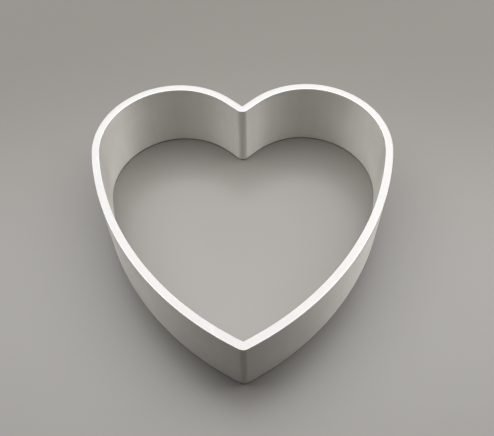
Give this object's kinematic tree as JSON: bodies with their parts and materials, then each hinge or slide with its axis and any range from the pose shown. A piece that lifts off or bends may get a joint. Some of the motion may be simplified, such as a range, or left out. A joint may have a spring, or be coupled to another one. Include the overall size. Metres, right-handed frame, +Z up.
{
  "type": "cookie cutter",
  "caption": "Heart-shaped cookie cutter: a closed band of flat aluminium strip stood on edge, open at the rim and at the foot, pressed through rolled dough to cut a heart.",
  "frame": {"origin": "under the middle of the heart's box, on the plane that the foot stands on", "axes": "+Z up from the foot to the rim, +Y from the tip to the cleft, +X to the right lobe seen from above with the cleft away from the viewer"},
  "size_m": [0.076, 0.0764, 0.02],
  "materials": {
    "band": "satin",
    "weld": "satin"
  },
  "bodies": {
    "root": {"right_half_band": "band", "left_half_band": "band", "tip_weld": "weld", "cleft_weld": "weld"}
  },
  "joints": []
}
